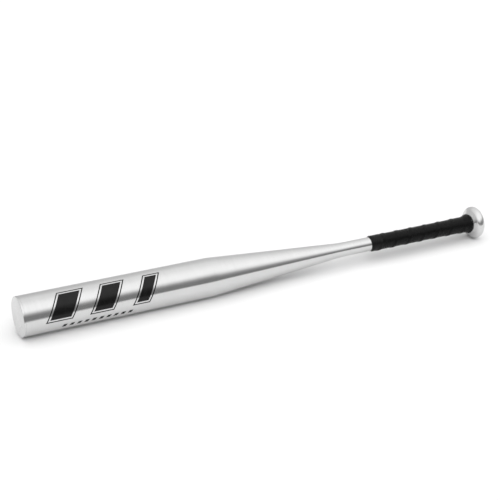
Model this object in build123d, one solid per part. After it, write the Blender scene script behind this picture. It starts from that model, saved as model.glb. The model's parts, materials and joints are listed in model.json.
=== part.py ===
from build123d import *
import math
import os

# A hollow aluminium baseball bat that lies on its side, in millimetres.
# Every piece is drawn along +X from the barrel's end face, then the whole bat
# is laid on the floor, where the barrel's knee and the knob's rim touch it.

# Main sizes, which stack up to the bat's length from the barrel's end face
barrel_diameter = 54.0
barrel_length = 268.0
taper_length = 205.0
handle_diameter = 20.4
bare_handle_length = 47.0
grip_length = 169.6
knob_diameter = 47.4

# Tube: the wall thickens where the tube is swaged down to the handle
barrel_wall = 2.0
handle_wall = 2.6
knee_radius = 160.0
throat_radius = 320.0

# End disc: a flange on the barrel's mouth and a spigot pressed into the tube
flange_thickness = 3.0
flange_edge_radius = 1.2
disc_spigot_length = 10.0
disc_spigot_wall = 4.0
disc_floor_thickness = 5.0

# Foam plug behind the end disc
plug_length = 40.0

# Knob: a flared neck, a cove, a sloping front face, a rounded rim and a low crown
knob_rim_radius = 7.0
knob_crown_height = 11.6
knob_face_lean = 25.0
cove_radius = 1.5
flare_radius = 40.0
flare_angle = 21.0
neck_length = 8.0
knob_spigot_length = 28.0
smallest_face = 0.5

# Grip: adhesive underlay, wound strip and the tape that holds the strip's end
underlay_thickness = 0.3
wrap_thickness = 0.9
tape_thickness = 0.15
tape_overhang = 3.0
tape_cover = 15.0

# Printed film marks on the barrel: slanted bars, and a row of ticks below them
film_thickness = 0.1
bar_starts = (28.0, 87.0, 146.0)
bar_widths = (36.0, 33.0, 24.0)
bar_slant = 22.0
bar_low_angle = -9.0
bar_high_angle = 75.0
tick_start = 50.0
tick_count = 10
tick_pitch = 10.0
tick_width = 5.0
tick_slant = 2.5
tick_low_angle = -34.0
tick_high_angle = -24.0

# Small edges
lead_in = 0.8

# Radii and places that follow from the sizes above
barrel_radius = barrel_diameter / 2
handle_radius = handle_diameter / 2
knob_radius = knob_diameter / 2
bore_radius = barrel_radius - barrel_wall
handle_bore_radius = handle_radius - handle_wall
taper_end = barrel_length + taper_length

flare_sine = math.sin(math.radians(flare_angle))
flare_cosine = math.cos(math.radians(flare_angle))
flare_centre_radius = handle_radius + flare_radius
flare_end_radius = handle_radius + flare_radius * (1 - flare_cosine)

face_sine = math.sin(math.radians(knob_face_lean))
face_cosine = math.cos(math.radians(knob_face_lean))
cove_top_radius = flare_end_radius + cove_radius * (flare_cosine - face_sine)
rim_room = (knob_radius - cove_top_radius - smallest_face) / (1 - face_sine)
rim_round = min(knob_rim_radius, rim_room)
rim_centre_radius = knob_radius - rim_round
rim_start_radius = rim_centre_radius + rim_round * face_sine
face_depth = (rim_start_radius - cove_top_radius) * face_sine / face_cosine

grip_start = taper_end + bare_handle_length + tape_overhang
flare_end = grip_start + grip_length
flare_start = flare_end - flare_radius * flare_sine
tube_end = flare_start - neck_length
face_start = flare_end + cove_radius * (face_cosine - flare_sine)
rim_start = face_start + face_depth
rim_x = rim_start + rim_round * face_cosine
bat_length = rim_x + knob_crown_height

wrap_inner_offset = underlay_thickness
wrap_outer_offset = underlay_thickness + wrap_thickness


def turned(outline):
    """The solid that a closed outline sweeps round the bat's axis."""
    return revolve(make_face(outline), axis=Axis.X)


def tube_outline(large_radius, small_radius):
    """The tube's outline from its mouth to the handle's end, with both bends rounded."""
    corners = [
        (flange_thickness, large_radius),
        (barrel_length, large_radius),
        (taper_end, small_radius),
        (tube_end, small_radius),
    ]
    return FilletPolyline(*corners, radius=[knee_radius, throat_radius])


def make_shell():
    """The one-piece barrel, taper and handle, open at both ends."""
    outside = tube_outline(barrel_radius, handle_radius)
    inside = tube_outline(bore_radius, handle_bore_radius)
    mouth = Line(inside @ 0, outside @ 0)
    end = Line(outside @ 1, inside @ 1)
    return turned([outside, end, inside, mouth])


def make_end_disc():
    """The turned disc: a flange the size of the barrel, and a cupped spigot."""
    spigot_end = flange_thickness + disc_spigot_length
    cup_radius = bore_radius - disc_spigot_wall
    shoulder = (flange_edge_radius, barrel_radius)
    shoulder_low = (0, barrel_radius - flange_edge_radius)
    edge = RadiusArc(shoulder_low, shoulder, flange_edge_radius)
    body = Polyline(
        shoulder,
        (flange_thickness, barrel_radius),
        (flange_thickness, bore_radius),
        (spigot_end - lead_in, bore_radius),
        (spigot_end, bore_radius - lead_in),
        (spigot_end, cup_radius),
        (disc_floor_thickness, cup_radius),
        (disc_floor_thickness, 0),
        (0, 0),
        shoulder_low,
    )
    return turned([edge, body])


def make_damping_plug():
    """The foam plug that fills the bore behind the end disc."""
    start = flange_thickness + disc_spigot_length
    outline = Polyline(
        (start, 0),
        (start, bore_radius),
        (start + plug_length, bore_radius),
        (start + plug_length, 0),
        close=True,
    )
    return turned([outline])


def make_knob():
    """Spigot, flared neck, cove, sloping face, rounded rim and crown, turned from one bar."""
    spigot_start = tube_end - knob_spigot_length
    crown_rise = knob_crown_height - rim_round
    crown_half_angle = math.atan(crown_rise / rim_centre_radius)
    crown_angle = 2 * crown_half_angle
    crown_edge = (
        rim_x + rim_round * math.cos(crown_angle),
        rim_centre_radius + rim_round * math.sin(crown_angle),
    )
    crown_radius = rim_round + rim_centre_radius / math.sin(crown_angle)
    spigot = Polyline(
        (bat_length, 0),
        (spigot_start, 0),
        (spigot_start, handle_bore_radius - lead_in),
        (spigot_start + lead_in, handle_bore_radius),
        (tube_end, handle_bore_radius),
        (tube_end, handle_radius),
        (flare_start, handle_radius),
    )
    flare = RadiusArc((flare_start, handle_radius), (flare_end, flare_end_radius), -flare_radius)
    cove = RadiusArc((flare_end, flare_end_radius), (face_start, cove_top_radius), -cove_radius)
    face = Line((face_start, cove_top_radius), (rim_start, rim_start_radius))
    rim_front = RadiusArc((rim_start, rim_start_radius), (rim_x, knob_radius), rim_round)
    rim_back = RadiusArc((rim_x, knob_radius), crown_edge, rim_round)
    crown = RadiusArc(crown_edge, (bat_length, 0), crown_radius)
    return turned([spigot, flare, cove, face, rim_front, rim_back, crown])


def flare_point(offset):
    """A point at the flare's end, standing off the metal by the offset."""
    reach = flare_radius - offset
    return (flare_start + reach * flare_sine, flare_centre_radius - reach * flare_cosine)


def make_sleeve(inner_offset, outer_offset):
    """A layer of the grip: it follows the handle and the knob's flare."""
    inner_bend = (flare_start, handle_radius + inner_offset)
    outer_bend = (flare_start, handle_radius + outer_offset)
    inner_arc = RadiusArc(inner_bend, flare_point(inner_offset), inner_offset - flare_radius)
    outer_arc = RadiusArc(outer_bend, flare_point(outer_offset), outer_offset - flare_radius)
    start = Polyline(
        inner_bend,
        (grip_start, handle_radius + inner_offset),
        (grip_start, handle_radius + outer_offset),
        outer_bend,
    )
    end = Line(inner_arc @ 1, outer_arc @ 1)
    return turned([start, inner_arc, end, outer_arc])


def make_finishing_tape():
    """The band that steps down from the wrap's end on to the bare handle."""
    wrap_radius = handle_radius + wrap_outer_offset
    tape_start = grip_start - tape_overhang
    tape_end = grip_start + tape_cover
    outline = Polyline(
        (tape_start, handle_radius),
        (tape_start, handle_radius + tape_thickness),
        (grip_start, wrap_radius + tape_thickness),
        (tape_end, wrap_radius + tape_thickness),
        (tape_end, wrap_radius),
        (grip_start, wrap_radius),
        (grip_start, handle_radius),
        close=True,
    )
    return turned([outline])


def make_film(start, width, slant, low_angle, high_angle):
    """A slanted patch of film bent round the barrel, between two angles above level."""
    middle_angle = (low_angle + high_angle) / 2
    half_angle = math.radians(high_angle - low_angle) / 2
    half_height = barrel_radius * math.sin(half_angle)
    outer_radius = barrel_radius + film_thickness
    # A slanted block cuts the patch from the top of a thin sleeve. The patch is
    # then turned about the axis, down to its place on the side that faces -Y.
    sleeve_length = width + slant
    sleeve = Cylinder(outer_radius, sleeve_length) - Cylinder(barrel_radius, sleeve_length)
    sleeve = Pos(start + sleeve_length / 2, 0, 0) * Rot(0, 90, 0) * sleeve
    footprint = Polyline(
        (start, -half_height),
        (start + width, -half_height),
        (start + width + slant, half_height),
        (start + slant, half_height),
        close=True,
    )
    block = extrude(make_face(footprint), outer_radius)
    upright_patch = sleeve & block
    return Rot(90 - middle_angle, 0, 0) * upright_patch


def make_ticks():
    """The row of short slanted ticks, as a group of separate films."""
    ticks = [
        make_film(
            tick_start + index * tick_pitch,
            tick_width,
            tick_slant,
            tick_low_angle,
            tick_high_angle,
        )
        for index in range(tick_count)
    ]
    return Compound(children=ticks)


def make_pieces():
    """Every piece of the bat by name, along +X."""
    pieces = {
        "bat_shell": make_shell(),
        "end_disc": make_end_disc(),
        "damping_plug": make_damping_plug(),
        "knob": make_knob(),
        "grip_underlay": make_sleeve(0, wrap_inner_offset),
        "grip_wrap": make_sleeve(wrap_inner_offset, wrap_outer_offset),
        "finishing_tape": make_finishing_tape(),
        "tick_decal": make_ticks(),
    }
    for number, (start, width) in enumerate(zip(bar_starts, bar_widths), start=1):
        film = make_film(start, width, bar_slant, bar_low_angle, bar_high_angle)
        pieces[f"bar_decal_{number}"] = film
    return pieces


def floor_tangent(first, second):
    """The tilt of the axis that sets two circles of the outline on one level floor.

    Each circle is (place along the axis, height of its centre above the axis, radius).
    """
    run = second[0] - first[0]
    drop = first[1] - second[1]
    return math.asin((first[2] - second[2]) / math.hypot(run, drop)) - math.atan2(drop, run)


def resting_place():
    """Where the bat lies: on its knob's rim and its knee, centred over the origin.

    A bat with a knob larger than its barrel lies on the barrel's end instead of its knee.
    """
    taper_angle = math.atan((barrel_radius - handle_radius) / taper_length)
    knee_start = barrel_length - knee_radius * math.tan(taper_angle / 2)
    knee = (knee_start, knee_radius - barrel_radius, knee_radius)
    mouth_edge = (flange_edge_radius, flange_edge_radius - barrel_radius, flange_edge_radius)
    rim = (rim_x, rim_round - knob_radius, rim_round)
    support = knee if barrel_radius > knob_radius else mouth_edge
    tilt = floor_tangent(support, rim)
    end_height = rim[0] * math.sin(tilt) - rim[1] * math.cos(tilt) + rim[2]
    end_overhang = (barrel_radius - flange_edge_radius) * abs(math.sin(tilt))
    middle = (bat_length * math.cos(tilt) - end_overhang) / 2
    return Pos(-middle, 0, end_height) * Rot(0, math.degrees(tilt), 0)


def main():
    os.makedirs("parts", exist_ok=True)
    place = resting_place()
    for name, piece in make_pieces().items():
        export_step(place * piece, f"parts/{name}.step")
    print("length", round(bat_length, 2))


main()
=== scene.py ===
import json
import math

import bpy
from mathutils import Euler, Matrix, Vector, noise


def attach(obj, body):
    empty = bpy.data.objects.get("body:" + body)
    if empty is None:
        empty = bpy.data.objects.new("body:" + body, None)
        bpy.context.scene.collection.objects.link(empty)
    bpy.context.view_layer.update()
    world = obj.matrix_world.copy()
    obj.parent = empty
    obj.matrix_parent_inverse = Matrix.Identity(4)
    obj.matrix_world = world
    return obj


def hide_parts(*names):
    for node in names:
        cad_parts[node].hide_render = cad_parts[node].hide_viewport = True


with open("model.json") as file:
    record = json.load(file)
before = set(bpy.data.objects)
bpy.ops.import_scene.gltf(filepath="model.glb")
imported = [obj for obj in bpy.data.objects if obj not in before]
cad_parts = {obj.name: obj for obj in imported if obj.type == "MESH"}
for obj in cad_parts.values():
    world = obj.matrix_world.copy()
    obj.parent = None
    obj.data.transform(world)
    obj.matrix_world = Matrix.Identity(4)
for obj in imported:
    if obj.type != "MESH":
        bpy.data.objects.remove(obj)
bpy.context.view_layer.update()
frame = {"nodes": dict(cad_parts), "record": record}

# A hollow aluminium baseball bat, lying on a pale floor. Sizes are in metres.
# The bat's own frame has its origin at the centre of the barrel's end face and
# +X along the bat. The record's end_face mount says where that frame lies.
mm = 0.001

# Tube
barrel_radius = 27.0 * mm
barrel_length = 268.0 * mm
taper_end = 473.0 * mm
handle_radius = 10.2 * mm
barrel_wall = 2.0 * mm
handle_wall = 2.6 * mm
knee_radius = 160.0 * mm
throat_radius = 320.0 * mm
edge_break = 0.08 * mm

# End disc
flange_thickness = 3.0 * mm
flange_edge_radius = 1.2 * mm
spigot_length = 10.0 * mm
spigot_wall = 4.0 * mm
disc_floor = 5.0 * mm
lead_in = 0.8 * mm
turning_pitch = 1.1 * mm
turning_depth = 0.012 * mm
disc_clearance = 0.02 * mm

# Knob
knob_radius = 23.7 * mm
knob_rim_radius = 7.0 * mm
knob_crown_height = 11.6 * mm
knob_face_lean = math.radians(25.0)
cove_radius = 1.5 * mm
flare_radius = 40.0 * mm
flare_angle = math.radians(21.0)
neck_length = 8.0 * mm
knob_spigot_length = 28.0 * mm

# Grip: a strip wound from the knob to the barrel, each turn over the last one's edge
grip_start = 523.0 * mm
grip_length = 169.6 * mm
underlay_thickness = 0.3 * mm
strip_clearance = 0.03 * mm
strip_width = 29.4 * mm
strip_thickness = 0.66 * mm
strip_edge_thickness = 0.42 * mm
strip_skive = 2.6 * mm
strip_climb = 1.3 * mm
strip_pitch = 24.0 * mm
strip_phase = 6.4 * mm
strip_wander = 0.5 * mm
wander_rate = 1.7
wander_phase = 0.6
strip_narrowest = 0.5 * mm
strip_lumps = 0.09 * mm
strip_lump_size = 5.0 * mm
build_up_start = 640.0 * mm
build_up_length = 38.0 * mm
build_up = 0.55 * mm

# Finishing tape over the strip's end
tape_start = 520.0 * mm
tape_end = 538.0 * mm
tape_thickness = 0.15 * mm
tape_clearance = 0.02 * mm
strip_inset = 0.2 * mm
tape_step_start = 1.0 * mm
tape_step_length = 2.6 * mm
tape_tail_start = math.radians(20.0)
tape_tail_angle = math.radians(70.0)
tape_tail_rise = math.radians(2.0)
tape_tail_fall = math.radians(6.0)
tape_tail_slope = math.radians(2.0) / mm

# Printed marks
film_height = 0.06 * mm
film_root = 0.02 * mm
bar_starts = (28.0 * mm, 87.0 * mm, 146.0 * mm)
bar_widths = (36.0 * mm, 33.0 * mm, 24.0 * mm)
bar_slant = 22.0 * mm
bar_low = math.radians(-9.0)
bar_high = math.radians(75.0)
keyline_width = 1.5 * mm
keyline_gap = 1.9 * mm
tick_start = 50.0 * mm
tick_count = 10
tick_pitch = 10.0 * mm
tick_width = 5.0 * mm
tick_slant = 2.5 * mm
tick_low = math.radians(-34.0)
tick_high = math.radians(-24.0)

# Detail of the meshes. An edge stays sharp where its faces turn by more than the crease, in degrees.
lathe_crease = 35.0
slab_crease = 50.0
tube_segments = 256
longest_piece = 12.0 * mm
bend_steps = 20
turning_rings = 120
small_arc_steps = 10
rim_steps = 40
crown_steps = 24
knob_segments = 192
steps_per_turn = 84
steps_across = 52
tape_segments = 240
tape_steps = 36
bar_columns = 6
bar_rows = 40
keyline_columns = 4
tick_columns = 3
tick_rows = 6

# Places that follow from the sizes above
flare_end = grip_start + grip_length
flare_start = flare_end - flare_radius * math.sin(flare_angle)
tube_end = flare_start - neck_length
flare_centre_radius = handle_radius + flare_radius
flare_end_radius = handle_radius + flare_radius * (1 - math.cos(flare_angle))
cove_centre_x = flare_end - cove_radius * math.sin(flare_angle)
cove_centre_radius = flare_end_radius + cove_radius * math.cos(flare_angle)
face_start = cove_centre_x + cove_radius * math.cos(knob_face_lean)
face_start_radius = cove_centre_radius - cove_radius * math.sin(knob_face_lean)
rim_centre_radius = knob_radius - knob_rim_radius
rim_start_radius = rim_centre_radius + knob_rim_radius * math.sin(knob_face_lean)
rim_start = face_start + (rim_start_radius - face_start_radius) * math.tan(knob_face_lean)
rim_x = rim_start + knob_rim_radius * math.cos(knob_face_lean)
bat_length = rim_x + knob_crown_height
bore_radius = barrel_radius - barrel_wall
handle_bore_radius = handle_radius - handle_wall
grip_run_end = flare_start + flare_radius * flare_angle


def bat_placement():
    """The matrix from the bat's own frame to the row frame."""
    mounts = {mount["name"]: mount for mount in frame["record"]["mounts"]}
    end_face = mounts["end_face"]
    along = -Vector(end_face["axis"]).normalized()
    across = Vector((0, 1, 0))
    up = along.cross(across)
    turn = Matrix((along, across, up)).transposed().to_4x4()
    return Matrix.Translation(end_face["pos_m"]) @ turn


placement = bat_placement()


# ---------------------------------------------------------------- mesh helpers


def around(x, radius, angle):
    """A point at a place along the axis; the angle runs from -Y, over the top, to +Y."""
    return (x, -radius * math.cos(angle), radius * math.sin(angle))


def smooth(share):
    """0 below 0, 1 above 1, and a smooth rise between."""
    share = min(max(share, 0.0), 1.0)
    return share * share * (3 - 2 * share)


def arc(centre_x, centre_radius, radius, start, end, steps):
    """Points of an arc in the (place along the axis, radius) plane, both ends included."""
    points = []
    for step in range(steps + 1):
        angle = start + (end - start) * step / steps
        points.append((centre_x + radius * math.cos(angle), centre_radius + radius * math.sin(angle)))
    return points


def rounded_line(corners, radii, steps):
    """A line through the corners, with each inner corner rounded by its radius."""
    corners = [Vector(corner) for corner in corners]
    points = [corners[0]]
    for before, corner, after, radius in zip(corners, corners[1:], corners[2:], radii):
        way_in = (corner - before).normalized()
        way_out = (after - corner).normalized()
        turn = math.acos(min(1.0, way_in.dot(way_out)))
        inward = (way_out - way_in * way_in.dot(way_out)).normalized()
        first = corner - way_in * radius * math.tan(turn / 2)
        for step in range(steps + 1):
            angle = turn * step / steps
            points.append(
                first + way_in * radius * math.sin(angle) + inward * radius * (1 - math.cos(angle))
            )
    points.append(corners[-1])
    return [tuple(point) for point in points]


def between(first, second, share):
    """The point that lies that share of the way from the first to the second."""
    return tuple(a + (b - a) * share for a, b in zip(first, second))


def divided(points, longest):
    """The same line with extra points, so that no piece of it is longer than that."""
    made = [points[0]]
    for first, second in zip(points, points[1:]):
        parts = max(1, math.ceil(math.dist(first, second) / longest))
        for part in range(1, parts + 1):
            made.append(between(first, second, part / parts))
    return made


def make_object(name, points, faces, material, crease=lathe_crease):
    """A smooth mesh object in the bat's frame, with sharp edges kept sharp."""
    mesh = bpy.data.meshes.new(name)
    mesh.from_pydata(points, [], faces)
    mesh.materials.append(material)
    mesh.validate()
    mesh.shade_smooth()
    mesh.set_sharp_from_angle(angle=math.radians(crease))
    made = bpy.data.objects.new(name, mesh)
    bpy.context.scene.collection.objects.link(made)
    made.matrix_world = placement
    return made


def lathe(name, outline, segments, material):
    """A solid of revolution. An outline that starts and ends on the axis closes there."""
    solid = outline[0][1] == 0 and outline[-1][1] == 0
    rings = outline[1:-1] if solid else outline
    points = []
    for x, radius in rings:
        for segment in range(segments):
            points.append(around(x, radius, math.tau * segment / segments))
    faces = []
    pairs = len(rings) - 1 if solid else len(rings)
    for ring in range(pairs):
        low = ring * segments
        high = (ring + 1) % len(rings) * segments
        for segment in range(segments):
            following = (segment + 1) % segments
            faces.append((low + segment, high + segment, high + following, low + following))
    if solid:
        first_pole = len(points)
        last_pole = first_pole + 1
        last_ring = (len(rings) - 1) * segments
        points.append((outline[0][0], 0, 0))
        points.append((outline[-1][0], 0, 0))
        for segment in range(segments):
            following = (segment + 1) % segments
            faces.append((first_pole, segment, following))
            faces.append((last_pole, last_ring + following, last_ring + segment))
    return make_object(name, points, faces, material)


def sheet_faces(rows, columns, closed_rows=False):
    """Faces of a closed slab whose rows hold the top's points and then the bottom's."""
    stride = 2 * columns
    faces = []
    for row in range(rows if closed_rows else rows - 1):
        here = row * stride
        there = (row + 1) % rows * stride
        for column in range(stride):
            following = (column + 1) % stride
            faces.append((here + column, there + column, there + following, here + following))
    if not closed_rows:
        last = (rows - 1) * stride
        for column in range(columns - 1):
            under = stride - 1 - column
            faces.append((column, column + 1, under - 1, under))
            faces.append((last + column, last + under, last + under - 1, last + column + 1))
    return faces


def finish_piece(piece, slot, *nodes):
    """The piece stands for those CAD nodes and rides on the bat's one body."""
    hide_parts(*nodes)
    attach(piece, "root")
    return piece


# ------------------------------------------------------------ material helpers

# The range that most of a noise texture's values fill
noise_low = 0.3
noise_high = 0.7

# The shader's turn of its tangent, as a share of a full one
quarter_turn = 0.25


def add(tree, kind, inputs=None, **settings):
    """A node with its settings; an input is linked if it is given a socket."""
    made = tree.nodes.new(kind)
    for key, value in settings.items():
        setattr(made, key, value)
    for key, value in (inputs or {}).items():
        if isinstance(value, bpy.types.NodeSocket):
            tree.links.new(value, made.inputs[key])
        else:
            made.inputs[key].default_value = value
    return made


def new_material(name):
    """An empty material's node tree, its shader and its object coordinates."""
    material = bpy.data.materials.new(name)
    material.use_nodes = True
    tree = material.node_tree
    tree.nodes.clear()
    shader = add(tree, "ShaderNodeBsdfPrincipled")
    output = add(tree, "ShaderNodeOutputMaterial")
    tree.links.new(shader.outputs["BSDF"], output.inputs["Surface"])
    place = add(tree, "ShaderNodeTexCoord").outputs["Object"]
    return material, tree, shader, place


def noise_value(tree, place, scale, detail, roughness, stretch=(1, 1, 1)):
    """Noise over the object; scale times stretch gives its features per metre on each axis."""
    mapped = add(tree, "ShaderNodeMapping", {"Vector": place, "Scale": stretch}).outputs["Vector"]
    inputs = {"Vector": mapped, "Scale": scale, "Detail": detail, "Roughness": roughness}
    return add(tree, "ShaderNodeTexNoise", inputs).outputs["Fac"]


def spread(tree, value, low, high, start=noise_low, end=noise_high):
    """The value carried from start..end to low..high, and held there outside that range."""
    made = add(
        tree,
        "ShaderNodeMapRange",
        {"Value": value, "From Min": start, "From Max": end, "To Min": low, "To Max": high},
    )
    return made.outputs["Result"]


def maths(tree, operation, first, second):
    """One sum on two sockets or numbers."""
    return add(tree, "ShaderNodeMath", {0: first, 1: second}, operation=operation).outputs[0]


def grey(tree, value):
    """A neutral colour of that brightness."""
    made = add(tree, "ShaderNodeCombineColor", {"Red": value, "Green": value, "Blue": value})
    return made.outputs["Color"]


def bump(tree, shader, height, distance, strength=1.0):
    """Fine relief: the height runs from 0 to 1, and distance is its depth in metres."""
    made = add(
        tree,
        "ShaderNodeBump",
        {"Height": height, "Distance": distance, "Strength": strength},
    )
    tree.links.new(made.outputs["Normal"], shader.inputs["Normal"])


def set_inputs(shader, **values):
    """Numbers set on the shader's own sockets."""
    for key, value in values.items():
        shader.inputs[key.replace("_", " ")].default_value = value


# ------------------------------------------------------------------- materials


def gloss_round_axis(tree, shader, anisotropy):
    """Highlights drawn out across marks that run round the bat's axis."""
    tangent = add(tree, "ShaderNodeTangent", direction_type="RADIAL", axis="X")
    tree.links.new(tangent.outputs["Tangent"], shader.inputs["Tangent"])
    set_inputs(shader, Metallic=1.0, Anisotropic=anisotropy, Anisotropic_Rotation=quarter_turn)


def metal(name, brightness, roughness, anisotropy):
    """Aluminium with fine marks that run round the axis, light wear and faint smudges."""
    material, tree, shader, place = new_material(name)
    fine = noise_value(tree, place, scale=1.0, detail=4.0, roughness=0.6, stretch=(5200, 60, 60))
    broad = noise_value(tree, place, scale=1.0, detail=3.0, roughness=0.5, stretch=(520, 25, 25))
    smudges = noise_value(tree, place, scale=38.0, detail=4.0, roughness=0.6)
    marks = maths(tree, "ADD", spread(tree, fine, -0.5, 0.5), spread(tree, broad, -0.5, 0.5))
    tone_spread = 0.018
    tone = spread(tree, marks, brightness - tone_spread, brightness + tone_spread, -1, 1)
    worn = maths(tree, "ADD", tone, spread(tree, smudges, -0.012, 0.012))
    tree.links.new(grey(tree, worn), shader.inputs["Base Color"])
    rough_spread = 0.18 * roughness
    scratched = spread(tree, marks, roughness - rough_spread, roughness + rough_spread, -1, 1)
    rough = maths(tree, "ADD", scratched, spread(tree, smudges, -0.015, 0.02))
    tree.links.new(rough, shader.inputs["Roughness"])
    gloss_round_axis(tree, shader, anisotropy)
    bump(tree, shader, fine, distance=0.004 * mm, strength=0.6)
    return material


def ring_noise(tree, radius, scale, detail, roughness):
    """Noise that depends on the distance from the axis alone, as a turning tool leaves."""
    inputs = {"W": radius, "Scale": scale, "Detail": detail, "Roughness": roughness}
    return add(tree, "ShaderNodeTexNoise", inputs, noise_dimensions="1D").outputs["Fac"]


def turned_metal(name):
    """The end disc's face: concentric tool marks, broad and fine, and faint smudges."""
    material, tree, shader, place = new_material(name)
    axes = add(tree, "ShaderNodeSeparateXYZ", {"Vector": place})
    flat = add(tree, "ShaderNodeCombineXYZ", {"Y": axes.outputs["Y"], "Z": axes.outputs["Z"]})
    length = add(tree, "ShaderNodeVectorMath", {0: flat.outputs["Vector"]}, operation="LENGTH")
    radius = length.outputs["Value"]
    fine = ring_noise(tree, radius, scale=2600.0, detail=4.0, roughness=0.6)
    broad = ring_noise(tree, radius, scale=420.0, detail=2.0, roughness=0.5)
    smudges = noise_value(tree, place, scale=90.0, detail=4.0, roughness=0.6)
    tone = maths(tree, "ADD", spread(tree, fine, 0.60, 0.66), spread(tree, broad, -0.03, 0.03))
    worn = maths(tree, "ADD", tone, spread(tree, smudges, -0.02, 0.02))
    tree.links.new(grey(tree, worn), shader.inputs["Base Color"])
    rough = maths(tree, "ADD", spread(tree, broad, 0.26, 0.34), spread(tree, smudges, -0.02, 0.02))
    tree.links.new(rough, shader.inputs["Roughness"])
    gloss_round_axis(tree, shader, anisotropy=0.5)
    bump(tree, shader, fine, distance=0.01 * mm, strength=0.8)
    return material


def grip_leather():
    """Black synthetic leather: a fine pebble grain, creases, and a worn sheen from lower roughness on
    the high spots. Its colour is painted darker in the creases' hollows and lighter on their high
    spots, a painted shade.
    """
    material, tree, shader, place = new_material("grip_leather")
    pebbles = add(
        tree,
        "ShaderNodeTexVoronoi",
        {"Vector": place, "Scale": 1150.0, "Randomness": 0.9},
        feature="DISTANCE_TO_EDGE",
    ).outputs["Distance"]
    creases = noise_value(tree, place, scale=260.0, detail=5.0, roughness=0.6)
    handling = noise_value(tree, place, scale=60.0, detail=3.0, roughness=0.5)
    # Painted shade: the colour follows the creases' relief and is darkest in their hollows
    crease_shade_tone = spread(tree, creases, 0.0002, 0.003)
    tone = maths(tree, "ADD", crease_shade_tone, spread(tree, handling, -0.0002, 0.0006))
    tree.links.new(grey(tree, tone), shader.inputs["Base Color"])
    worn = spread(tree, handling, 0.18, 0.30)
    rough = maths(tree, "ADD", worn, spread(tree, creases, 0.05, -0.05))
    tree.links.new(rough, shader.inputs["Roughness"])
    pebble_share = 0.12
    pebble_middle = 0.25
    pebble_height = spread(tree, pebbles, 0.0, pebble_share, 0.0, pebble_middle)
    height = maths(tree, "ADD", pebble_height, creases)
    set_inputs(shader, Specular_IOR_Level=0.115)
    bump(tree, shader, height, distance=0.5 * mm)
    return material


def black_tape():
    """Black vinyl tape with a faint stretch pattern along its length."""
    material, tree, shader, place = new_material("black_tape")
    pulled = noise_value(tree, place, scale=1.0, detail=3.0, roughness=0.5, stretch=(1500, 130, 130))
    dust = noise_value(tree, place, scale=500.0, detail=3.0, roughness=0.6)
    tree.links.new(grey(tree, spread(tree, dust, 0.002, 0.006)), shader.inputs["Base Color"])
    tree.links.new(spread(tree, pulled, 0.22, 0.36), shader.inputs["Roughness"])
    set_inputs(shader, Specular_IOR_Level=0.14)
    bump(tree, shader, pulled, distance=0.04 * mm, strength=0.6)
    return material


def printed_film():
    """Black screen-printed ink with a faint orange-peel surface."""
    material, tree, shader, place = new_material("printed_film")
    peel = noise_value(tree, place, scale=900.0, detail=2.0, roughness=0.5)
    wear = noise_value(tree, place, scale=150.0, detail=4.0, roughness=0.65)
    tree.links.new(grey(tree, spread(tree, wear, 0.001, 0.004)), shader.inputs["Base Color"])
    tree.links.new(spread(tree, wear, 0.17, 0.27), shader.inputs["Roughness"])
    set_inputs(shader, Specular_IOR_Level=0.25)
    bump(tree, shader, peel, distance=0.01 * mm, strength=0.5)
    return material


def foam():
    """Grey open-cell foam for the plug inside the barrel, its pores painted darker in their pits, a
    painted shade.
    """
    material, tree, shader, place = new_material("foam")
    cells = add(
        tree,
        "ShaderNodeTexVoronoi",
        {"Vector": place, "Scale": 700.0},
        feature="F1",
    ).outputs["Distance"]
    cell_range = (0.1, 0.8)
    # Painted shade: the colour follows the pores' relief and is darkest at the bottom of each pit
    tone = spread(tree, cells, 0.12, 0.34, *cell_range)
    tree.links.new(grey(tree, tone), shader.inputs["Base Color"])
    tree.links.new(spread(tree, cells, 0.85, 0.97, *cell_range), shader.inputs["Roughness"])
    bump(tree, shader, cells, distance=0.8 * mm)
    return material


def adhesive_tape():
    """The double-sided tape below the wrap: an off-white woven scrim."""
    material, tree, shader, place = new_material("adhesive_tape")
    threads = add(
        tree,
        "ShaderNodeTexBrick",
        {"Vector": place, "Scale": 900.0, "Mortar Size": 0.03},
        offset=0.5,
    ).outputs["Fac"]
    fibres = noise_value(tree, place, scale=800.0, detail=4.0, roughness=0.6)
    weave = spread(tree, threads, 0.46, 0.60, 0, 1)
    tone = maths(tree, "ADD", weave, spread(tree, fibres, -0.05, 0.05))
    tree.links.new(grey(tree, tone), shader.inputs["Base Color"])
    tree.links.new(spread(tree, fibres, 0.55, 0.75), shader.inputs["Roughness"])
    bump(tree, shader, threads, distance=0.1 * mm, strength=0.5)
    return material


def floor_paint():
    """The pale studio floor."""
    material, tree, shader, place = new_material("floor_paint")
    mottle = noise_value(tree, place, scale=9.0, detail=3.0, roughness=0.5)
    tree.links.new(grey(tree, spread(tree, mottle, 0.845, 0.855)), shader.inputs["Base Color"])
    set_inputs(shader, Roughness=0.9, Specular_IOR_Level=0.0)
    return material


# ---------------------------------------------------------------------- pieces


def tube_line(large_radius, small_radius, end_break):
    """One side of the tube's wall, from the barrel's mouth to the handle's end."""
    corners = [
        (flange_thickness + end_break, large_radius),
        (barrel_length, large_radius),
        (taper_end, small_radius),
        (tube_end - end_break, small_radius),
    ]
    return rounded_line(corners, (knee_radius, throat_radius), bend_steps)


def make_tube(material):
    """The barrel, taper and handle in one tube, with its bore."""
    start = flange_thickness + disc_clearance
    outside = tube_line(barrel_radius, handle_radius, edge_break)
    inside = tube_line(bore_radius, handle_bore_radius, 0)
    mouth = [(start, bore_radius), (start, barrel_radius - edge_break)]
    end = [(tube_end, handle_radius - edge_break), (tube_end, handle_bore_radius)]
    outline = mouth + divided(outside, longest_piece) + end + inside[::-1][1:-1]
    tube = lathe("bat_tube", outline, tube_segments, material)
    return finish_piece(tube, "brushed_aluminium", "bat_shell")


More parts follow.
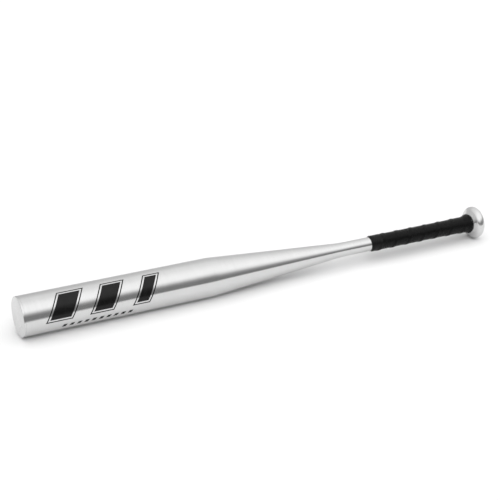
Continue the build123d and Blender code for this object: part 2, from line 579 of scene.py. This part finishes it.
def turned_face(face_radius):
    """The line of the disc's face from the axis outwards, with its shallow tool rings."""
    face = [(0.0, 0.0)]
    for step in range(1, turning_rings):
        radius = face_radius * step / turning_rings
        ripple = 0.5 - 0.5 * math.cos(math.tau * radius / turning_pitch)
        fade = smooth((face_radius - radius) / turning_pitch)
        face.append((turning_depth * ripple * fade, radius))
    return face


def dress_rings(piece, segments, first_ring, material):
    """A second material on a lathed piece, from one of its rings on."""
    piece.data.materials.append(material)
    for face in piece.data.polygons:
        ring = min(face.vertices) // segments
        face.material_index = int(ring >= first_ring)


def make_end_disc(material, side_material):
    """The turned disc: a ringed face, a rounded edge and a cupped spigot. Its side is brushed."""
    face_radius = barrel_radius - flange_edge_radius
    face = turned_face(face_radius)
    edge = arc(
        flange_edge_radius, face_radius, flange_edge_radius, math.pi, math.pi / 2, small_arc_steps
    )
    spigot_end = flange_thickness + spigot_length
    cup_radius = bore_radius - spigot_wall
    back = [
        (flange_thickness - edge_break, barrel_radius),
        (flange_thickness, barrel_radius - edge_break),
        (flange_thickness, bore_radius),
        (spigot_end - lead_in, bore_radius),
        (spigot_end, bore_radius - lead_in),
        (spigot_end, cup_radius),
        (disc_floor, cup_radius),
        (disc_floor, 0.0),
    ]
    disc = lathe("end_disc_turned", face + edge + back, tube_segments, material)
    dress_rings(disc, tube_segments, len(face) + len(edge) // 2, side_material)
    return finish_piece(disc, "turned_aluminium", "end_disc")


def make_knob(material):
    """Spigot, flared neck, cove, sloping face, rounded rim and low crown, from one bar."""
    spigot_start = tube_end - knob_spigot_length
    crown_angle = 2 * math.atan((knob_crown_height - knob_rim_radius) / rim_centre_radius)
    crown_radius = knob_rim_radius + rim_centre_radius / math.sin(crown_angle)
    right_angle = math.pi / 2
    flare_top = flare_angle - right_angle
    spigot = [
        (spigot_start, 0.0),
        (spigot_start, handle_bore_radius - lead_in),
        (spigot_start + lead_in, handle_bore_radius),
        (tube_end, handle_bore_radius),
        (tube_end, handle_radius),
    ]
    flare = arc(
        flare_start, flare_centre_radius, flare_radius, -right_angle, flare_top, small_arc_steps
    )
    cove = arc(
        cove_centre_x, cove_centre_radius, cove_radius, flare_top, -knob_face_lean, small_arc_steps
    )
    face_angle = math.pi - knob_face_lean
    rim = arc(rim_x, rim_centre_radius, knob_rim_radius, face_angle, crown_angle, rim_steps)
    crown = arc(bat_length - crown_radius, 0.0, crown_radius, crown_angle, 0.0, crown_steps)
    outline = spigot + flare + cove[1:] + rim + crown[1:-1] + [(bat_length, 0.0)]
    knob = lathe("knob_polished", outline, knob_segments, material)
    return finish_piece(knob, "polished_aluminium", "knob")


def grip_point(run, offset):
    """A point off the handle: run follows the metal along the bat, and up the knob's flare."""
    if run <= flare_start:
        return run, handle_radius + offset
    angle = (run - flare_start) / flare_radius
    reach = flare_radius - offset
    return flare_start + reach * math.sin(angle), flare_centre_radius - reach * math.cos(angle)


def turn_start(angle):
    """Where the strip's barrel-side edge lies along the handle, at a winding angle."""
    wander = strip_wander * math.sin(wander_rate * angle + wander_phase)
    return strip_phase + strip_pitch * angle / math.tau + wander


def strip_depth(across):
    """The strip's thickness at a distance across it: it is skived along both edges."""
    from_edge = min(across, strip_width - across)
    body = strip_thickness - strip_edge_thickness
    return strip_edge_thickness + body * smooth(from_edge / strip_skive)


def strip_low(across, pitch):
    """The strip's underside above the underlay: it climbs over the last turn's edge."""
    under = across - pitch
    climb = smooth(under / strip_climb + 1)
    return strip_clearance + climb * strip_depth(max(under, 0.0))


def grip_base(run):
    """The underlay's surface, built up a little where the winding starts at the knob."""
    return underlay_thickness + build_up * smooth((run - build_up_start) / build_up_length)


def wrap_top(run, angle):
    """The height of the wound strip's outside above the bare handle."""
    turn = math.floor((run - turn_start(angle)) / strip_pitch)
    top = 0.0
    for back in (-1, 0, 1):
        wound = angle + math.tau * (turn + back)
        across = run - turn_start(wound)
        if 0 <= across <= strip_width:
            pitch = turn_start(wound + math.tau) - turn_start(wound)
            top = max(top, strip_low(across, pitch) + strip_depth(across))
    return grip_base(run) + top


def with_lumps(points):
    """The points moved out from the axis by shallow lumps, as hand winding leaves."""
    made = []
    for x, y, z in points:
        lump = noise.noise(Vector((x, y, z)) / strip_lump_size)
        share = 1 + strip_lumps * (0.5 + 0.5 * lump) / math.hypot(y, z)
        made.append((x, y * share, z * share))
    return made


def strip_row(angle):
    """The strip's points at a winding angle: across its top, then back along its underside."""
    start = turn_start(angle)
    pitch = turn_start(angle + math.tau) - start
    near = max(0.0, grip_start - start)
    far = max(min(strip_width, grip_run_end - start), near + strip_narrowest / 2)
    top = []
    bottom = []
    for step in range(steps_across + 1):
        across = near + (far - near) * step / steps_across
        run = min(start + across, grip_run_end)
        low = strip_low(across, pitch)
        high = low + strip_depth(across)
        for side, offset in ((top, high), (bottom, low)):
            x, radius = grip_point(run, grip_base(run) + offset)
            side.append(around(x, radius, angle))
    return with_lumps(top) + bottom[::-1]


def make_strip(material):
    """The grip strip, wound as a helix whose turns overlap, and trimmed square at both ends."""
    first_start = grip_start - strip_width + strip_narrowest
    last_start = grip_run_end - strip_narrowest
    first = math.tau * (first_start - strip_phase) / strip_pitch
    last = math.tau * (last_start - strip_phase) / strip_pitch
    rows = math.ceil((last - first) / math.tau * steps_per_turn)
    points = []
    for row in range(rows + 1):
        points += strip_row(first + (last - first) * row / rows)
    faces = sheet_faces(rows + 1, steps_across + 1)
    strip = make_object("grip_strip", points, faces, material, slab_crease)
    finish_piece(strip, "grip_leather", "grip_wrap")
    return strip


def tape_tail(run, angle):
    """1 where the tape's tail lies over its first turn, and 0 elsewhere."""
    slant = tape_tail_slope * (run - tape_start)
    beyond = (angle - tape_tail_start - slant) % math.tau
    rise = smooth(beyond / tape_tail_rise)
    fall = smooth((tape_tail_angle - beyond) / tape_tail_fall)
    return rise * fall


def tape_row(angle):
    """The tape's points at an angle: along its top, then back along its underside.

    The strip's height is read a little inside the strip's own edge.
    """
    top = []
    bottom = []
    for step in range(tape_steps + 1):
        run = tape_start + (tape_end - tape_start) * step / tape_steps
        covered = smooth((run - tape_start - tape_step_start) / tape_step_length)
        strip_top = wrap_top(max(run, grip_start + strip_inset), angle) + strip_lumps
        low = covered * strip_top + tape_clearance
        high = low + tape_thickness * (1 + tape_tail(run, angle))
        top.append(around(run, handle_radius + high, angle))
        bottom.append(around(run, handle_radius + low, angle))
    return with_lumps(top) + bottom[::-1]


def make_tape(material):
    """The finishing tape: it steps down from the strip's end on to the bare handle."""
    points = []
    for segment in range(tape_segments):
        points += tape_row(math.tau * segment / tape_segments)
    faces = sheet_faces(tape_segments, tape_steps + 1, closed_rows=True)
    tape = make_object("finishing_tape_band", points, faces, material, slab_crease)
    return finish_piece(tape, "black_tape", "finishing_tape")


def patch_corners(start, width, slant, height, edge):
    """A slanted patch's corners as (x, share of its height), with edge cut from each side."""
    rise = barrel_radius * height
    edge_share = edge / rise
    side_edge = edge * math.hypot(1.0, slant / rise)
    length = width - 2 * side_edge
    low_x = start + slant * edge_share + side_edge
    high_x = start + slant * (1 - edge_share) + side_edge
    return (
        (low_x, edge_share),
        (low_x + length, edge_share),
        (high_x + length, 1 - edge_share),
        (high_x, 1 - edge_share),
    )


def film_patch(start, width, slant, low, high, edge, columns, rows):
    """The points and faces of a closed patch of film, with edge cut from each side."""
    low_left, low_right, high_right, high_left = patch_corners(start, width, slant, high - low, edge)
    points = []
    for row in range(rows + 1):
        left = between(low_left, high_left, row / rows)
        right = between(low_right, high_right, row / rows)
        top = []
        bottom = []
        for column in range(columns + 1):
            x, share = between(left, right, column / columns)
            angle = low + (high - low) * share
            top.append(around(x, barrel_radius + film_height, angle))
            bottom.append(around(x, barrel_radius - film_root, angle))
        points += top + bottom[::-1]
    return points, sheet_faces(rows + 1, columns + 1)


def keyline(start, width, slant, low, high, columns, rows):
    """The points and faces of a thin closed frame along a slanted patch's outline."""
    outer = patch_corners(start, width, slant, high - low, 0.0)
    inner = patch_corners(start, width, slant, high - low, keyline_width)
    section = ((outer, film_height), (inner, film_height), (inner, -film_root), (outer, -film_root))
    points = []
    for side, steps in enumerate((columns, rows, columns, rows)):
        following = (side + 1) % 4
        for step in range(steps):
            for corners, height in section:
                x, share = between(corners[side], corners[following], step / steps)
                points.append(around(x, barrel_radius + height, low + (high - low) * share))
    stations = 2 * (columns + rows)
    return points, sheet_faces(stations, 2, closed_rows=True)


def joined(parts):
    """Several pairs of points and faces as one pair."""
    points = []
    faces = []
    for part_points, part_faces in parts:
        shift = len(points)
        points += part_points
        faces += [tuple(index + shift for index in face) for face in part_faces]
    return points, faces


def make_bars(material):
    """The three slanted bars, each a block of ink inside a thin keyline."""
    edge = keyline_width + keyline_gap
    for number, (start, width) in enumerate(zip(bar_starts, bar_widths), start=1):
        place = (start, width, bar_slant, bar_low, bar_high)
        block = film_patch(*place, edge, bar_columns, bar_rows)
        outline = keyline(*place, keyline_columns, bar_rows)
        bar = make_object(f"bar_ink_{number}", *joined([block, outline]), material)
        finish_piece(bar, "printed_film", f"bar_decal_{number}")


def make_ticks(material):
    """The row of short slanted ticks below the bars."""
    parts = []
    for index in range(tick_count):
        place = (tick_start + index * tick_pitch, tick_width, tick_slant, tick_low, tick_high)
        parts.append(film_patch(*place, 0.0, tick_columns, tick_rows))
    ticks = make_object("tick_ink", *joined(parts), material)
    finish_piece(ticks, "printed_film", "tick_decal")


def dress_node(name, material):
    """A CAD node that stays, with a finished material."""
    node = frame["nodes"][name]
    node.data.materials.clear()
    node.data.materials.append(material)


# ----------------------------------------------------- floor, light and camera

floor_reach = 30.0

# The sky that the metal mirrors, as (elevation in degrees, brightness). It is tilted about Y.
sky_tilt = math.radians(14.0)
sky_strength = 1.4
front_sky = (
    (0, 0.20), (10, 0.20), (16, 0.27), (21, 0.38), (26, 0.60),
    (32, 0.84), (38, 0.98), (44, 1.0), (90, 0.95),
)
back_sky = (
    (0, 0.51), (11, 0.54), (20, 0.57), (28, 0.62), (36, 0.70),
    (43, 0.78), (49, 0.82), (60, 0.86), (90, 0.93),
)
front_to_back = 0.35

# Along +X, the front sky's dark wall gets lower (as a share of 90 degrees) and the back gets brighter
wall_drop = 0.14
wall_drop_start = 0.40
wall_drop_end = 0.60
back_level_start = 0.2
back_level_end = 0.8
back_level_low = 0.88
back_level_high = 1.25

# The dark card in front of the bat, a glowing sheet that paints a darker horizon into the metal's
# reflections, as (x, y) along its foot
flag_line = ((-0.42, -0.10), (-0.02, -0.32), (0.40, -0.36), (1.2, -0.55))
flag_height = 80 * mm
flag_foot_height = 2 * mm
flag_foot_level = 0.85
flag_dark_height = 22 * mm
flag_dark_level = 0.28

camera_location = (-0.7565, -1.4401, 0.7846)
camera_target = (0.0275, 0.1078, 0.0)
camera_lens = 93.6
camera_sensor = 36.0


def make_staging(name, points, faces, material):
    """A mesh that belongs to the studio and not to the bat."""
    mesh = bpy.data.meshes.new(name)
    mesh.from_pydata(points, [], faces)
    mesh.materials.append(material)
    made = bpy.data.objects.new(name, mesh)
    bpy.context.scene.collection.objects.link(made)
    return made


def make_floor(material):
    """A wide flat floor under the bat."""
    near = -floor_reach
    far = floor_reach
    corners = [(near, near, 0), (far, near, 0), (far, far, 0), (near, far, 0)]
    make_staging("floor", corners, [(0, 1, 2, 3)], material)


def ramp(tree, value, stops):
    """A grey ramp over elevation, from the horizon to the zenith."""
    made = add(tree, "ShaderNodeValToRGB", {"Fac": value})
    elements = made.color_ramp.elements
    while len(elements) < len(stops):
        elements.new(0.5)
    for element, (degrees, level) in zip(elements, stops):
        element.position = degrees / 90
        element.color = (level, level, level, 1)
    return made.outputs["Color"]


def sky_directions(tree):
    """How far a direction lies along the bat, how high it is, and whether it is in front or behind."""
    direction = add(tree, "ShaderNodeTexCoord").outputs["Generated"]
    along = add(tree, "ShaderNodeSeparateXYZ", {"Vector": direction}).outputs["X"]
    tilted = add(tree, "ShaderNodeMapping", {"Vector": direction, "Rotation": (0, sky_tilt, 0)})
    axes = add(tree, "ShaderNodeSeparateXYZ", {"Vector": tilted.outputs["Vector"]})
    angle = add(tree, "ShaderNodeMath", {0: axes.outputs["Z"]}, operation="ARCSINE").outputs[0]
    elevation = maths(tree, "DIVIDE", angle, math.pi / 2)
    behind = add(
        tree,
        "ShaderNodeMapRange",
        {"Value": axes.outputs["Y"], "From Min": -front_to_back, "From Max": front_to_back},
        interpolation_type="SMOOTHSTEP",
    ).outputs["Result"]
    return along, elevation, behind


def make_studio_sky():
    """What the metal mirrors: a bright ceiling, a dark wall in front and a grey one behind."""
    world = bpy.data.worlds.new("studio")
    bpy.context.scene.world = world
    world.use_nodes = True
    world.cycles_visibility.diffuse = False
    tree = world.node_tree
    tree.nodes.clear()
    along, elevation, behind = sky_directions(tree)
    drop = spread(tree, along, 0.0, wall_drop, wall_drop_start, wall_drop_end)
    front = ramp(tree, maths(tree, "ADD", elevation, drop), front_sky)
    back = ramp(tree, elevation, back_sky)
    colours = {"Factor": behind, 6: front, 7: back}
    mixed = add(tree, "ShaderNodeMix", colours, data_type="RGBA").outputs[2]
    extra = spread(
        tree, along, back_level_low - 1, back_level_high - 1, back_level_start, back_level_end
    )
    level = maths(tree, "ADD", maths(tree, "MULTIPLY", behind, extra), 1.0)
    strength = maths(tree, "MULTIPLY", level, sky_strength)
    sky = add(tree, "ShaderNodeBackground", {"Color": mixed, "Strength": strength})
    output = add(tree, "ShaderNodeOutputWorld")
    tree.links.new(sky.outputs["Background"], output.inputs["Surface"])


def painted_reflection_card():
    """The card's material, a painted reflection: it glows a little, brightest at its foot."""
    material, tree, shader, place = new_material("painted_reflection_flag")
    height = add(tree, "ShaderNodeSeparateXYZ", {"Vector": place}).outputs["Z"]
    level = spread(
        tree, height, flag_foot_level, flag_dark_level, flag_foot_height, flag_dark_height
    )
    # Painted reflection: this glow, bright at the foot and dark above, is what the metal mirrors as
    # its horizon
    tree.links.new(grey(tree, level), shader.inputs["Emission Color"])
    set_inputs(shader, Base_Color=(0, 0, 0, 1), Emission_Strength=1.0, Specular_IOR_Level=0.0)
    return material


def make_flag(material):
    """A low dark card in front of the bat, a painted reflection. Only reflections show it, as a darker
    horizon.
    """
    points = [(x, y, z) for x, y in flag_line for z in (0.0, flag_height)]
    faces = []
    for foot in range(0, len(points) - 2, 2):
        faces.append((foot, foot + 2, foot + 3, foot + 1))
    painted_reflection_flag = make_staging("painted_reflection_flag", points, faces, material)
    painted_reflection_flag.visible_camera = False
    painted_reflection_flag.visible_diffuse = False
    painted_reflection_flag.visible_shadow = False


def add_sun(name, azimuth, elevation, strength, spread_angle):
    """A soft even light. Azimuth 0 comes from -Y and 90 from +X. The metal doesn't mirror it."""
    data = bpy.data.lights.new(name, "SUN")
    data.energy = strength
    data.angle = math.radians(spread_angle)
    light = bpy.data.objects.new(name, data)
    bpy.context.scene.collection.objects.link(light)
    light.rotation_euler = Euler((math.radians(90 - elevation), 0, math.radians(azimuth)))
    light.visible_glossy = False


def make_lights():
    """A very soft light from almost overhead, and a weaker fill from the front left."""
    add_sun("key_light", azimuth=0, elevation=80, strength=3.45, spread_angle=125)
    add_sun("fill_light", azimuth=-15, elevation=48, strength=0.75, spread_angle=50)


def make_camera():
    """The camera: low, from the front left, with a long lens."""
    data = bpy.data.cameras.new("camera")
    data.lens = camera_lens
    data.sensor_width = camera_sensor
    camera = bpy.data.objects.new("camera", data)
    bpy.context.scene.collection.objects.link(camera)
    camera.location = camera_location
    way = Vector(camera_target) - Vector(camera_location)
    camera.rotation_euler = way.to_track_quat("-Z", "Y").to_euler()
    bpy.context.scene.camera = camera


make_camera()
make_floor(floor_paint())
make_studio_sky()
make_flag(painted_reflection_card())
make_lights()

brushed = metal("brushed_aluminium", brightness=0.63, roughness=0.15, anisotropy=0.8)
make_tube(brushed)
make_end_disc(turned_metal("turned_aluminium"), brushed)
make_knob(metal("polished_aluminium", brightness=0.64, roughness=0.19, anisotropy=0.3))
make_strip(grip_leather())
make_tape(black_tape())
ink = printed_film()
make_bars(ink)
make_ticks(ink)
dress_node("grip_underlay", adhesive_tape())
dress_node("damping_plug", foam())

bpy.context.scene.view_settings.view_transform = "Standard"
